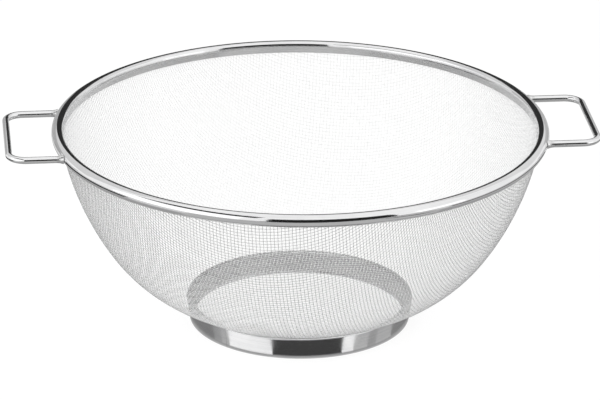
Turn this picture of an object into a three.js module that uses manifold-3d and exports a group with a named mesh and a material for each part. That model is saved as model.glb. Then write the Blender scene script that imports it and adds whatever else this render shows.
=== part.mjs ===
// Wire mesh colander: a woven wire bowl held in a rolled rim, with two wire handles and a foot ring.
// Millimetres, +Z up. The origin is on the table, at the middle of the foot.
import * as THREE from 'three';
import { mergeVertices } from 'three/addons/utils/BufferGeometryUtils.js';
import Module from 'manifold-3d';

const wasm = await Module();
wasm.setup();

// Overall
const RIM_OUTER_DIAMETER = 260;
const OVERALL_HEIGHT = 109;
const CLEARANCE = 0.3;

// Rolled rim: a strip curled into an open tube over the cloth's edge and a core wire. The setback is how
// far the cloth stands off the inner side of the tube, beyond the clearance.
const RIM_TUBE_DIAMETER = 6.2;
const RIM_STRIP = 0.6;
const RIM_SEAM_GAP = 0.4;
const RIM_SEAM_ANGLE = 173;
const CLOTH_SETBACK = 0.32;

// Woven wire cloth, drawn with fewer and thicker wires than the real cloth
const CELLS_TO_RIM = 11;
const CLOTH_WIRE_WIDTH = 1.2;
const CLOTH_WIRE_HEIGHT = 0.9;
const CLOTH_CROWN = 0.3;
const CLOTH_TUCK = 0.7;

// Bowl profile: a flat floor, a knuckle arc that turns up by an angle, and a wall arc that ends leaning
// out at the rim
const FLOOR_RADIUS = 30;
const FLOOR_HEIGHT = 7.6;
const KNUCKLE_TURN = 56;
const WALL_LEAN = 81;

// Foot ring: a strip with its top edge turned in under the cloth and its bottom edge turned in
const FOOT_TOP_DIAMETER = 120;
const FOOT_BASE_DIAMETER = 116.6;
const FOOT_STRIP = 0.8;
const FOOT_LIP = 3.5;
const FOOT_HEM = 2.6;
const FOOT_EDGE_RADIUS = 0.6;

// Handles: round wire bent into a U, its two leg ends welded to the rim
const HANDLE_WIRE_DIAMETER = 3.6;
const HANDLE_SPAN = 66.6;
const HANDLE_REACH = 25;
const HANDLE_BEND_RADIUS = 9;
const WELD_BEAD = 0.8;
const WELD_TOE = 0.25;
const WELD_LENGTH = 2.2;

// Finish: the steel's colour, and the roughness of each kind of piece
const STEEL_COLOUR = 0xb9bcbf;
const ROUGHNESS = { cloth: 0.3, rim: 0.16, core: 0.4, handle: 0.18, weld: 0.35, foot: 0.2 };

// Facets
const RING_SEGMENTS = 60;
const RIM_ARC_STEPS = 10;
const WIRE_SIDES = 10;
const CORE_SIDES = 6;
const BEND_STEPS = 5;
const MERGE_DISTANCE = 1e-4;

// Solving the net: cells worked out past the rim, the first guess in cells past the inner neighbours,
// and Newton's step, rounds and allowed miss
const NET_MARGIN = 1.3;
const NET_GUESS = 1 / 3;
const NET_STEP = 1e-5;
const NET_ROUNDS = 40;
const NET_MISS = 1e-7;

const radians = THREE.MathUtils.degToRad;
const rimTubeRadius = RIM_TUBE_DIAMETER / 2;
const rimRadius = RIM_OUTER_DIAMETER / 2 - rimTubeRadius;
const rimHeight = OVERALL_HEIGHT - rimTubeRadius;
const rimCavityRadius = rimTubeRadius - RIM_STRIP;
const clothHalf = CLOTH_CROWN + CLOTH_WIRE_HEIGHT / 2;
const handleWireRadius = HANDLE_WIRE_DIAMETER / 2;
const legSide = HANDLE_SPAN / 2;
const legStart = Math.sqrt(rimRadius * rimRadius - legSide * legSide);

// Inside the rim, offsets are measured outwards from the tube's middle. The cloth stands near the inner
// side, and the core wire fills what is left beside it, with room for the cloth's lean above the middle
// and for the flats of the wire's facets.
const clothTilt = 1 / Math.tan(radians(WALL_LEAN));
const clothOffset = clothHalf + CLEARANCE + CLOTH_SETBACK - rimCavityRadius;
const facetSag = rimRadius * (1 - Math.cos(Math.PI / RING_SEGMENTS));
const coreInner = clothOffset + clothHalf + CLEARANCE + CLOTH_TUCK * clothTilt + facetSag;
const coreOuter = rimCavityRadius - CLEARANCE;
const coreOffset = (coreInner + coreOuter) / 2;
const coreRadius = (coreOuter - coreInner) / 2;

function steel(roughness) {
  return new THREE.MeshStandardMaterial({ color: STEEL_COLOUR, metalness: 1, roughness });
}

// Merges the shared corners of a closed geometry, so that it can be cut and joined.
function solidOf(geometry) {
  const bare = geometry.clone();
  bare.deleteAttribute('normal');
  bare.deleteAttribute('uv');
  const merged = mergeVertices(bare, MERGE_DISTANCE);
  return new wasm.Manifold(new wasm.Mesh({
    numProp: 3,
    vertProperties: new Float32Array(merged.attributes.position.array),
    triVerts: new Uint32Array(merged.index.array),
  }));
}

function geometryOf(solid) {
  const mesh = solid.getMesh();
  const geometry = new THREE.BufferGeometry();
  geometry.setAttribute('position', new THREE.BufferAttribute(mesh.vertProperties, 3));
  geometry.setIndex(new THREE.BufferAttribute(mesh.triVerts, 1));
  geometry.computeVertexNormals();
  return geometry;
}

function meshOf(name, geometry, material) {
  const mesh = new THREE.Mesh(geometry, material);
  mesh.name = name;
  return mesh;
}

// A ring: a closed profile of (radius, height) points, listed anticlockwise, turned round the Z axis.
function ring(profile, segments = RING_SEGMENTS) {
  const points = [...profile, profile[0]].map(([r, z]) => new THREE.Vector2(r, z));
  return new THREE.LatheGeometry(points, segments).rotateX(Math.PI / 2);
}

// Points on an arc in the (radius, height) plane, from one angle to another in degrees.
function arcPoints([r, z], radius, from, to, steps) {
  return Array.from({ length: steps + 1 }, (_, k) => {
    const angle = radians(from + (to - from) * k / steps);
    return [r + radius * Math.cos(angle), z + radius * Math.sin(angle)];
  });
}

// The bowl's mid-surface: floor, knuckle arc, wall arc, then straight on along the wall's lean. The arcs
// are tangent to each other, and their radii bring the wall to the cloth's place in the rim.
const bowl = (() => {
  const [knuckle, lean] = [radians(KNUCKLE_TURN), radians(WALL_LEAN)];
  const run = rimRadius + clothOffset - FLOOR_RADIUS;
  const rise = rimHeight - FLOOR_HEIGHT;
  const [knuckleRun, knuckleRise] = [Math.sin(knuckle), 1 - Math.cos(knuckle)];
  const [wallRun, wallRise] = [Math.sin(lean) - Math.sin(knuckle), Math.cos(knuckle) - Math.cos(lean)];
  const mix = knuckleRun * wallRise - knuckleRise * wallRun;
  const knuckleRadius = (run * wallRise - rise * wallRun) / mix;
  const wallRadius = (rise * knuckleRun - run * knuckleRise) / mix;
  const knuckleEnd = FLOOR_RADIUS + knuckleRadius * knuckle;
  const rimEnd = knuckleEnd + wallRadius * (lean - knuckle);

  // Radius, height and slope at a distance along the profile from the middle of the floor.
  function at(distance) {
    const turn = Math.max(0, Math.min(distance, knuckleEnd) - FLOOR_RADIUS) / knuckleRadius;
    const wallTurn = Math.max(0, Math.min(distance, rimEnd) - knuckleEnd) / wallRadius;
    const straight = Math.max(0, distance - rimEnd);
    const slope = turn + wallTurn;
    return {
      radius: Math.min(distance, FLOOR_RADIUS) + knuckleRadius * Math.sin(turn)
        + wallRadius * (Math.sin(slope) - Math.sin(turn)) + straight * Math.cos(slope),
      height: FLOOR_HEIGHT + knuckleRadius * (1 - Math.cos(turn))
        + wallRadius * (Math.cos(turn) - Math.cos(slope)) + straight * Math.sin(slope),
      slope,
    };
  }

  function point(distance, azimuth) {
    const { radius, height } = at(distance);
    return new THREE.Vector3(radius * Math.cos(azimuth), radius * Math.sin(azimuth), height);
  }

  function upward(distance, azimuth) {
    const { slope } = at(distance);
    const inward = -Math.sin(slope);
    return new THREE.Vector3(inward * Math.cos(azimuth), inward * Math.sin(azimuth), Math.cos(slope));
  }

  // A point of the profile moved off the cloth's underside, for what carries the bowl.
  function below(radius, gap) {
    const turn = Math.asin((radius - FLOOR_RADIUS) / knuckleRadius);
    const height = FLOOR_HEIGHT + knuckleRadius * (1 - Math.cos(turn));
    return [radius + gap * Math.sin(turn), height - gap * Math.cos(turn)];
  }

  return { point, upward, below, rimEnd };
})();

// The four ways out of a crossing, as steps from wire to wire.
const WAYS = [[1, 0], [0, 1], [-1, 0], [0, -1]];

// Where a crossing lies on the bowl, one pitch from both of its inner neighbours.
function crossing(first, second, start, pitch) {
  let { distance, azimuth } = start;
  for (let round = 0; round < NET_ROUNDS; round++) {
    const miss = (d, t) => {
      const p = bowl.point(d, t);
      return [p.distanceTo(first.place) - pitch, p.distanceTo(second.place) - pitch];
    };
    const [f, g] = miss(distance, azimuth);
    const [fd, gd] = miss(distance + NET_STEP, azimuth);
    const [ft, gt] = miss(distance, azimuth + NET_STEP);
    const [a, b, c, d] = [fd - f, ft - f, gd - g, gt - g].map((v) => v / NET_STEP);
    const det = a * d - b * c;
    distance -= (d * f - b * g) / det;
    azimuth -= (a * g - c * f) / det;
    if (Math.hypot(f, g) < NET_MISS) {
      return { distance, azimuth, place: bowl.point(distance, azimuth) };
    }
  }
  return null;
}

// The wires' crossings when a square cloth is pressed over the bowl without stretching its wires.
// One quarter is worked out from the two main wires, and the other three mirror it.
function drapedNet(pitch) {
  const reach = bowl.rimEnd + NET_MARGIN * pitch;
  const count = Math.ceil(reach / pitch);
  const quarter = [];
  for (let i = 0; i <= count; i++) {
    quarter.push([]);
    for (let j = 0; j <= count; j++) {
      quarter[i].push(null);
      if (i === 0 || j === 0) {
        const distance = (i + j) * pitch;
        const azimuth = i === 0 ? Math.PI / 2 : 0;
        quarter[i][j] = { distance, azimuth, place: bowl.point(distance, azimuth) };
      } else if (quarter[i - 1][j] && quarter[i][j - 1]) {
        const [first, second, inner] = [quarter[i - 1][j], quarter[i][j - 1], quarter[i - 1][j - 1]];
        const guess = first.place.clone().add(second.place).sub(inner.place);
        const distance = Math.max(first.distance, second.distance) + NET_GUESS * pitch;
        quarter[i][j] = crossing(first, second, { distance, azimuth: Math.atan2(guess.y, guess.x) }, pitch);
      }
    }
  }
  const net = new Map();
  for (let i = -count; i <= count; i++) {
    for (let j = -count; j <= count; j++) {
      const found = quarter[Math.abs(i)][Math.abs(j)];
      if (found && found.distance < reach) {
        const up = bowl.upward(found.distance, found.azimuth);
        const mirror = new THREE.Vector3(i < 0 ? -1 : 1, j < 0 ? -1 : 1, 1);
        net.set(`${i},${j}`, { i, j, place: found.place.clone().multiply(mirror), up: up.multiply(mirror) });
      }
    }
  }
  return net;
}

// The four corners of a wire's diamond section at a crossing, on each of the four ways out of it.
// Facing out along a way, they are the top, the left side, the bottom and the right side. The wire
// that passes over has its ridge on top, and the other wire's ridge runs into its flank.
function crossingEnds(node, along) {
  const shear = along[0].clone().cross(along[1]).length();
  const side = CLOTH_WIRE_WIDTH / 2 / shear;
  const lift = CLOTH_WIRE_HEIGHT / 2 - CLOTH_CROWN;
  const tuck = side * (1 - Math.abs(4 * CLOTH_CROWN / CLOTH_WIRE_HEIGHT - 1));
  const at = (a, b, h) => node.place.clone().addScaledVector(along[0], a)
    .addScaledVector(along[1], b).addScaledVector(node.up, h);
  const top = at(0, 0, clothHalf);
  const bottom = at(0, 0, -clothHalf);
  const corner = [[1, 1], [-1, 1], [-1, -1], [1, -1]].map(([a, b]) => at(a * side, b * side, 0));
  return WAYS.map(([a, b], k) => {
    const meet = at(a * tuck, b * tuck, isOver(node, k) ? -lift : lift);
    const [left, right] = [corner[k], corner[(k + 3) % 4]];
    return isOver(node, k) ? [top, left, meet, right] : [meet, left, bottom, right];
  });
}

// Whether the wire that leaves a crossing by way k is the upper one there.
function isOver(node, k) {
  return (node.i + node.j + k) % 2 === 0;
}

// Woven wires fused where they cross. At each crossing one wire passes over the other, and at the
// next crossing along either wire they are the other way up. The wires are cut off at the trim height.
function wovenCloth(pitch, trim) {
  const net = drapedNet(pitch);
  const neighbour = (node, k) => net.get(`${node.i + WAYS[k][0]},${node.j + WAYS[k][1]}`);
  for (const node of net.values()) {
    const along = [0, 1].map((k) => {
      const ahead = (neighbour(node, k) ?? node).place;
      const behind = (neighbour(node, k + 2) ?? node).place;
      return ahead.clone().sub(behind).projectOnPlane(node.up).normalize();
    });
    node.ends = crossingEnds(node, along);
    node.kept = node.place.z < trim - CLOTH_WIRE_WIDTH;
  }

  const points = [];
  const triangles = [];
  const triangle = (...corners) => corners.forEach((corner) => {
    corner.index ??= points.push(corner) - 1;
    triangles.push(corner.index);
  });
  const close = ([top, left, bottom, right]) => {
    triangle(top, bottom, left);
    triangle(top, right, bottom);
  };
  const join = (near, far) => near.forEach((corner, s) => {
    const t = (s + 1) % 4;
    triangle(corner, far[s], far[t]);
    triangle(corner, far[t], near[t]);
  });
  const cut = (near, far) => near.map((corner, s) => (
    corner.clone().lerp(far[s], (trim - corner.z) / (far[s].z - corner.z))));

  for (const node of [...net.values()].filter(({ kept }) => kept)) {
    const [top] = node.ends[isOver(node, 0) ? 0 : 1];
    const [, , bottom] = node.ends[isOver(node, 0) ? 1 : 0];
    node.ends.forEach((near, k) => {
      const [upper, left, lower, right] = near;
      const [peak, meet] = isOver(node, k) ? [bottom, lower] : [top, upper];
      const [first, last] = isOver(node, k) ? [left, right] : [right, left];
      triangle(peak, first, meet);
      triangle(peak, meet, last);
      const other = neighbour(node, k);
      const [farTop, farRight, farBottom, farLeft] = other.ends[(k + 2) % 4];
      const far = [farTop, farLeft, farBottom, farRight];
      if (!other.kept) {
        const end = cut(near, far);
        join(near, end);
        close(end);
      } else if (k < 2) {
        join(near, far);
      }
    });
  }
  const geometry = new THREE.BufferGeometry();
  geometry.setFromPoints(points);
  geometry.setIndex(triangles);
  return geometry;
}

// The woven bowl, cut off inside the rim a little above its middle.
function meshBowl() {
  const cloth = wovenCloth(bowl.rimEnd / CELLS_TO_RIM, rimHeight + CLOTH_TUCK);
  return meshOf('mesh_bowl', cloth, steel(ROUGHNESS.cloth));
}

// Where the rim's curl stops beside the cloth, in degrees round the tube: the lower crossing of a
// circle of the strip with a line that runs the clearance off the cloth's inner (-1) or outer (1) face.
function curlEnd(radius, side) {
  const stretch = Math.hypot(1, clothTilt);
  const face = clothOffset + side * (clothHalf + CLEARANCE) * stretch;
  const drop = face * clothTilt + Math.sqrt((radius * stretch) ** 2 - face ** 2);
  const z = -drop / stretch ** 2;
  return THREE.MathUtils.radToDeg(Math.atan2(z, face + clothTilt * z));
}

// The rolled rim: an open tube whose slot lets the cloth in from below, with a butt seam.
function rimBand() {
  const centre = [rimRadius, rimHeight];
  const curl = (radius) => {
    const inner = curlEnd(radius, -1) + 360;
    return arcPoints(centre, radius, curlEnd(radius, 1), inner, RIM_ARC_STEPS);
  };
  const tube = ring([...curl(rimTubeRadius), ...curl(rimCavityRadius).reverse()]);
  const across = 2 * RIM_TUBE_DIAMETER;
  const seam = new THREE.BoxGeometry(across, RIM_SEAM_GAP, across);
  seam.translate(rimRadius, 0, rimHeight).rotateZ(radians(RIM_SEAM_ANGLE));
  return meshOf('rim_band', geometryOf(solidOf(tube).subtract(solidOf(seam))), steel(ROUGHNESS.rim));
}

// The wire hoop that the strip is rolled round, beside the cloth's edge.
function rimCoreWire() {
  const section = arcPoints([rimRadius + coreOffset, rimHeight], coreRadius, 0, 360, CORE_SIDES);
  return meshOf('rim_core_wire', ring(section.slice(0, -1)), steel(ROUGHNESS.core));
}

// The rim's outer surface grown by the clearance, which cuts what is welded on to fit the tube.
function rimCutter() {
  const section = arcPoints([rimRadius, rimHeight], rimTubeRadius + CLEARANCE, 0, 360, 2 * RIM_ARC_STEPS);
  return solidOf(ring(section.slice(0, -1)));
}

// A path of chosen stations, each with its place and direction, for a swept wire.
class StationPath extends THREE.Curve {
  constructor(stations) {
    super();
    this.stations = stations;
  }

  station(u) {
    return this.stations[Math.round(u * (this.stations.length - 1))];
  }

  getPointAt(u) {
    return this.station(u).place.clone();
  }

  getTangentAt(u) {
    return this.station(u).direction.clone();
  }
}

// The handle's centre line: out along one leg, round two bends and back along the other.
function handlePath() {
  const bar = RIM_OUTER_DIAMETER / 2 + HANDLE_REACH - handleWireRadius;
  const bendAt = bar - HANDLE_BEND_RADIUS;
  const station = (x, y, dx, dy) => ({
    place: new THREE.Vector3(x, y, rimHeight),
    direction: new THREE.Vector3(dx, dy, 0),
  });
  const bend = (middle, from) => Array.from({ length: BEND_STEPS + 1 }, (_, k) => {
    const angle = radians(from - 90 * k / BEND_STEPS);
    const [c, s] = [Math.cos(angle), Math.sin(angle)];
    return station(bendAt + HANDLE_BEND_RADIUS * c, middle + HANDLE_BEND_RADIUS * s, s, -c);
  });
  const inner = legSide - HANDLE_BEND_RADIUS;
  const stations = [
    station(legStart, legSide, 1, 0),
    ...bend(inner, 90),
    ...bend(-inner, 0),
    station(legStart, -legSide, -1, 0),
  ];
  return new StationPath(stations);
}

function handle(name, turn) {
  const section = new THREE.Shape(Array.from({ length: WIRE_SIDES }, (_, k) => {
    const angle = 2 * Math.PI * k / WIRE_SIDES;
    return new THREE.Vector2(handleWireRadius * Math.cos(angle), handleWireRadius * Math.sin(angle));
  }));
  const path = handlePath();
  const wire = new THREE.ExtrudeGeometry(section, {
    steps: path.stations.length - 1,
    extrudePath: path,
    bevelEnabled: false,
  });
  const mesh = meshOf(name, geometryOf(solidOf(wire).subtract(rimCutter())), steel(ROUGHNESS.handle));
  mesh.rotation.z = turn;
  return mesh;
}

// The bead of weld round a leg's end, thickest at the rim.
function weldBead(name, turn, side) {
  const bore = handleWireRadius + CLEARANCE;
  const full = rimTubeRadius + CLEARANCE;
  const profile = [
    [bore, 0],
    [bore + WELD_BEAD, 0],
    [bore + WELD_BEAD, full],
    [bore + WELD_TOE, full + WELD_LENGTH],
    [bore, full + WELD_LENGTH],
  ];
  const bead = ring(profile, WIRE_SIDES);
  bead.rotateY(Math.PI / 2).translate(legStart, side * legSide, rimHeight);
  const mesh = meshOf(name, geometryOf(solidOf(bead).subtract(rimCutter())), steel(ROUGHNESS.weld));
  mesh.rotation.z = turn;
  return mesh;
}

// The foot: a tapered band whose turned-in lip follows the underside of the cloth.
function footRing() {
  const [top, base] = [FOOT_TOP_DIAMETER / 2, FOOT_BASE_DIAMETER / 2];
  const gap = clothHalf + CLEARANCE;
  const under = gap + FOOT_STRIP;
  const shoulder = bowl.below(top - 2 * FOOT_EDGE_RADIUS, gap);
  const profile = [
    [base - FOOT_HEM, 0],
    [base - FOOT_EDGE_RADIUS, 0],
    [base, FOOT_EDGE_RADIUS],
    [top, shoulder[1] - FOOT_EDGE_RADIUS],
    shoulder,
    bowl.below(top - FOOT_LIP, gap),
    bowl.below(top - FOOT_LIP, under),
    bowl.below(top - FOOT_STRIP - 2 * FOOT_EDGE_RADIUS, under),
    [top - FOOT_STRIP, shoulder[1] - FOOT_EDGE_RADIUS - FOOT_STRIP],
    [base - FOOT_STRIP, FOOT_STRIP + FOOT_EDGE_RADIUS],
    [base - FOOT_STRIP - FOOT_EDGE_RADIUS, FOOT_STRIP],
    [base - FOOT_HEM, FOOT_STRIP],
  ];
  return meshOf('foot_ring', ring(profile), steel(ROUGHNESS.foot));
}

const colander = new THREE.Group();
colander.add(meshBowl(), rimBand(), rimCoreWire(), footRing());
for (const [side, turn] of [['right', 0], ['left', Math.PI]]) {
  colander.add(handle(`handle_${side}`, turn));
  for (const [end, sign] of [['far', 1], ['near', -1]]) {
    colander.add(weldBead(`weld_${side}_${end}`, turn, turn === 0 ? sign : -sign));
  }
}

export default colander;
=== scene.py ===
"""Wire mesh colander: a woven wire bowl in a rolled rim, with two wire handles and a foot ring."""

from __future__ import annotations

import logging
import math
from dataclasses import dataclass, field
from enum import Enum
from typing import Union

import bpy
import numpy as np
from mathutils import Matrix, Vector


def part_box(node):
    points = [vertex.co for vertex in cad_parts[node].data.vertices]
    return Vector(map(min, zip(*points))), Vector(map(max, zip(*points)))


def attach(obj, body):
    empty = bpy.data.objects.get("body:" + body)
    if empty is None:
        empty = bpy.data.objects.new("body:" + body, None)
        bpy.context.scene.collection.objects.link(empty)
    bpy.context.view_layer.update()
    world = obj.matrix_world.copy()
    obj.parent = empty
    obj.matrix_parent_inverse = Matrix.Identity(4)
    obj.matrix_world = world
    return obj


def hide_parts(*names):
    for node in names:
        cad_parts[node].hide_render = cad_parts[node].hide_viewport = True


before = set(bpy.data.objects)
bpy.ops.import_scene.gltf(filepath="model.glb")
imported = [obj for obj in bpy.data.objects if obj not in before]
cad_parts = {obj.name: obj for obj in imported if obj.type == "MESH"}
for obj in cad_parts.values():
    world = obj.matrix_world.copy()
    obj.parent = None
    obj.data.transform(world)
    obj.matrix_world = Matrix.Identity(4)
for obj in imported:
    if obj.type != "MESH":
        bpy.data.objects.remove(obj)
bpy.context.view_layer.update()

LOG = logging.getLogger("colander")
MM = 0.001
BODY = "root"
UP = (0.0, 0.0, 1.0)
ORIGIN = (0.0, 0.0, 0.0)
CAMERA_AZIMUTH = math.radians(-5.85)

# From the outside of the frame's rim to the middle of the rolled rim's section
RIM_INSET = 3.2 * MM
# From there to the middle of the cloth
CLOTH_INSET = 1.03 * MM

# Least angle of an edge that stays sharp, and the distance at which points are merged
SHARP_EDGE = math.radians(50.0)
MERGE_GAP = 0.001 * MM

# Attribute that runs from -1 on a wire's outer side to 1 on its inner side, which splits the wire's painted
# shade outside from its painted light inside
INNER_SIDE = "inner_side"
# Parts of a noise over which streaks and clouds of wear come up
STREAK_RAMP = (0.3, 0.7)
CLOUD_RAMP = (0.35, 0.65)
# Clouds of wear per metre
CLOUD_SCALE = 60.0

# Ring of floor that the foot's band mirrors, and how far its cards fan out
FOOT_CARD_NEAR = 60.2 * MM
FOOT_CARD_FAR = 115.0 * MM
FOOT_CARD_FAN = 1.5

Colour = tuple[float, float, float]
Operand = Union["Signal", float]


class Slot(Enum):
    """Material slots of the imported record."""

    CLOTH = "mesh_wire"
    RIM = "rim_steel"
    FOOT = "foot_steel"
    HANDLE = "handle_steel"
    WELD = "weld_steel"


class Side(Enum):
    """The two sides that a handle stands on, by the turn from +X."""

    RIGHT = 0.0
    LEFT = math.pi


class End(Enum):
    """The two ends of a handle's wire, by their sign along Y."""

    FAR = 1.0
    NEAR = -1.0


class Signal:
    """An output socket of a shader node, for writing shader maths as Python expressions."""

    def __init__(self, tree: bpy.types.NodeTree, socket: bpy.types.NodeSocket | None = None) -> None:
        """Wraps a socket of a node tree, or the bare tree as a place to start from."""
        self.tree = tree
        self.socket = socket

    def node(
        self,
        kind: str,
        settings: dict | None = None,
        sockets: dict | None = None,
        output: str | int = 0,
    ) -> Signal:
        """Adds any node.

        Args:
            kind: The node's type, without its ShaderNode prefix.
            settings: The node's own settings, which are set first.
            sockets: Values or links for its input sockets, by name or number.
            output: Name or number of the output to hand on.

        Returns:
            The chosen output, or the node's tree alone if it has no outputs.
        """
        made = self.tree.nodes.new("ShaderNode" + kind)
        for key, value in (settings or {}).items():
            setattr(made, key, value)
        for key, value in (sockets or {}).items():
            if isinstance(value, Signal):
                self.tree.links.new(value.socket, made.inputs[key])
            else:
                made.inputs[key].default_value = value
        return Signal(self.tree, made.outputs[output] if len(made.outputs) else None)

    def maths(self, operation: str, first: Operand, second: Operand = 0.0) -> Signal:
        """Adds one Math node and returns its output."""
        return self.node("Math", {"operation": operation}, {0: first, 1: second})

    def __add__(self, other: Operand) -> Signal:
        """Sum."""
        return self.maths("ADD", self, other)

    def __radd__(self, other: Operand) -> Signal:
        """Sum with a plain number first."""
        return self.maths("ADD", other, self)

    def __sub__(self, other: Operand) -> Signal:
        """Difference."""
        return self.maths("SUBTRACT", self, other)

    def __rsub__(self, other: Operand) -> Signal:
        """Difference from a plain number."""
        return self.maths("SUBTRACT", other, self)

    def __mul__(self, other: Operand) -> Signal:
        """Product."""
        return self.maths("MULTIPLY", self, other)

    def __rmul__(self, other: Operand) -> Signal:
        """Product with a plain number first."""
        return self.maths("MULTIPLY", other, self)

    def between(self, low: float, high: float) -> Signal:
        """This signal, from 0 to 1, spread between two numbers."""
        return low + self * (high - low)

    def step(self, start: float, end: float) -> Signal:
        """A smooth step of this signal from 0 at start to 1 at end."""
        names = {"Value": self, "From Min": start, "From Max": end}
        return self.node("MapRange", {"interpolation_type": "SMOOTHSTEP"}, names)

    def tint(self, dark: Colour | Signal, pale: Colour) -> Signal:
        """Mixes two colours by this signal.

        Args:
            dark: The colour at 0, or a signal that carries it.
            pale: The colour at 1.

        Returns:
            The mixed colour.
        """
        first = dark if isinstance(dark, Signal) else (*dark, 1.0)
        ends = {"Factor": self, 6: first, 7: (*pale, 1.0)}
        return self.node("Mix", {"data_type": "RGBA"}, ends, 2)

    def surface(self, kind: str, sockets: dict) -> None:
        """Adds a shader and links it to the material's surface."""
        self.node("OutputMaterial", None, {"Surface": self.node(kind, None, sockets)})


def blank_material(name: str) -> tuple[bpy.types.Material, Signal]:
    """Makes a material with an empty node tree.

    Args:
        name: The material's name.

    Returns:
        The material, and its tree as a place to start adding nodes from.
    """
    material = bpy.data.materials.new(name)
    material.use_nodes = True
    material.node_tree.nodes.clear()
    return material, Signal(material.node_tree)


@dataclass(frozen=True)
class Steel:
    """Bare stainless steel whose fine marks lie level, along a ring or along a wire that is bent flat.

    Attributes:
        name: The material's name.
        dark: Colour in the marks.
        pale: Colour between them.
        smooth: Least roughness.
        rough: Greatest roughness.
        mark_scale: Marks per metre across the grain.
        run_scale: Marks per metre along it.
        relief: Depth of the marks, in metres.
        cloud_share: Share of the wear that lies in broad clouds.
    """

    name: str
    dark: Colour
    pale: Colour
    smooth: float
    rough: float
    mark_scale: float
    run_scale: float = 0.0
    relief: float = 0.0
    cloud_share: float = 0.4

    def across(self, place: Signal) -> tuple[Signal, Signal, Signal]:
        """Coordinates for the marks: two along the grain and one across it."""
        x, y, z = (place.node("SeparateXYZ", None, {0: place}, k) for k in range(3))
        return x * self.run_scale, y * self.run_scale, z * self.mark_scale

    def wear(self, streak: Signal, place: Signal) -> Signal:
        """Wear from 0 to 1: streaks mixed with broad clouds."""
        cloud = place.node("TexNoise", None, {"Vector": place, "Scale": CLOUD_SCALE, "Detail": 2.0})
        return streak * (1.0 - self.cloud_share) + cloud.step(*CLOUD_RAMP) * self.cloud_share

    def material(self) -> bpy.types.Material:
        """Builds the finish.

        Returns:
            The node material.
        """
        made, tree = blank_material(self.name)
        place = tree.node("TexCoord", None, None, "Object")
        run = tree.node("CombineXYZ", None, dict(enumerate(self.across(place))))
        marks = tree.node("TexNoise", None, {"Vector": run, "Scale": 1.0, "Detail": 3.0})
        streak = marks.step(*STREAK_RAMP)
        wear = self.wear(streak, place)
        sockets = {
            "Base Color": wear.tint(self.dark, self.pale),
            "Metallic": 1.0,
            "Roughness": wear.between(self.rough, self.smooth),
        }
        if self.relief:
            lifted = {"Height": streak, "Distance": self.relief, "Strength": 1.0}
            sockets["Normal"] = tree.node("Bump", None, lifted)
        tree.surface("BsdfPrincipled", sockets)
        return made


@dataclass(frozen=True)
class PaintedLightWire(Steel):
    """Woven wire with painted shade on its outer side and painted light on its inner side, which is set
    near-white and mostly matt.

    Attributes:
        cloud_share: Share of the wear that lies in broad clouds.
        painted_light_colour: Colour of the wire's inner side, a near-white that is painted light.
        inner_side_rough: Roughness of the inner side.
        scatter: Share of light that the inner side scatters every way, so that the lamps light it white as
            part of the painted light.
        painted_light_start: Where the painted light starts, from -1 on the outer side to 1 on the inner
            side.
        painted_light_full: Where it is full.
    """

    cloud_share: float = 0.5
    # Painted light: the wire's inner side is near-white, far paler than the steel's own grey
    painted_light_colour: Colour = (0.98, 0.98, 0.98)
    inner_side_rough: float = 0.4
    scatter: float = 0.85
    painted_light_start: float = -0.6
    painted_light_full: float = -0.25

    def material(self) -> bpy.types.Material:
        """Builds the finish.

        Returns:
            The node material.
        """
        made, tree = blank_material(self.name)
        place = tree.node("TexCoord", None, None, "Object")
        # Mask of the inner side, which gets painted light (near-white, mostly matt); the outer side keeps
        # its dark grey, painted shade
        side = tree.node("Attribute", {"attribute_name": INNER_SIDE}, None, "Fac")
        inner = side.step(self.painted_light_start, self.painted_light_full)
        marks = tree.node("TexNoise", None, {"Vector": place, "Scale": self.mark_scale, "Detail": 2.0})
        wear = self.wear(marks.step(*STREAK_RAMP), place)
        rough = wear.between(self.rough, self.smooth)
        sockets = {
            "Base Color": inner.tint(wear.tint(self.dark, self.pale), self.painted_light_colour),
            "Metallic": 1.0 - inner * self.scatter,
            "Roughness": rough + inner * (self.inner_side_rough - rough),
        }
        tree.surface("BsdfPrincipled", sockets)
        return made


@dataclass(frozen=True)
class RolledSteel(Steel):
    """Polished steel rolled into a ring, with its marks counted by the radian round the ring's section.

    Attributes:
        ring_radius: Radius of the ring at the middle of its section.
        ring_height: Height of that middle.
    """

    ring_radius: float = 0.0
    ring_height: float = 0.0

    def across(self, place: Signal) -> tuple[Signal, Signal, Signal]:
        """Measures the marks' coordinates round the ring's section.

        Args:
            place: The point on the surface.

        Returns:
            Two coordinates along the grain and one across it.
        """
        x, y, z = (place.node("SeparateXYZ", None, {0: place}, k) for k in range(3))
        flat = place.node("CombineXYZ", None, {0: x, 1: y})
        radius = place.node("VectorMath", {"operation": "LENGTH"}, {0: flat}, "Value")
        turn = place.maths("ARCTAN2", z - self.ring_height, radius - self.ring_radius)
        return x * self.run_scale, y * self.run_scale, turn * self.mark_scale


# The wire's outer side is a dark grey well below the steel's own colour: painted shade. Its inner side gets
# painted light.
CLOTH_STEEL = PaintedLightWire(
    name="drawn_wire",
    dark=(0.26, 0.26, 0.264),
    pale=(0.36, 0.36, 0.36),
    smooth=0.2,
    rough=0.32,
    mark_scale=2500.0,
)
CORE_STEEL = Steel(
    name="core_wire",
    dark=(0.4, 0.4, 0.41),
    pale=(0.6, 0.6, 0.6),
    smooth=0.35,
    rough=0.5,
    mark_scale=400.0,
    run_scale=60.0,
)
HANDLE_STEEL = Steel(
    name="bent_wire",
    dark=(0.76, 0.76, 0.77),
    pale=(0.9, 0.9, 0.9),
    smooth=0.09,
    rough=0.17,
    mark_scale=3500.0,
    run_scale=25.0,
)
WELD_STEEL = Steel(
    name="weld_bead",
    dark=(0.62, 0.62, 0.62),
    pale=(0.84, 0.84, 0.84),
    smooth=0.14,
    rough=0.3,
    mark_scale=900.0,
    run_scale=900.0,
    relief=0.012 * MM,
)
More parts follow.
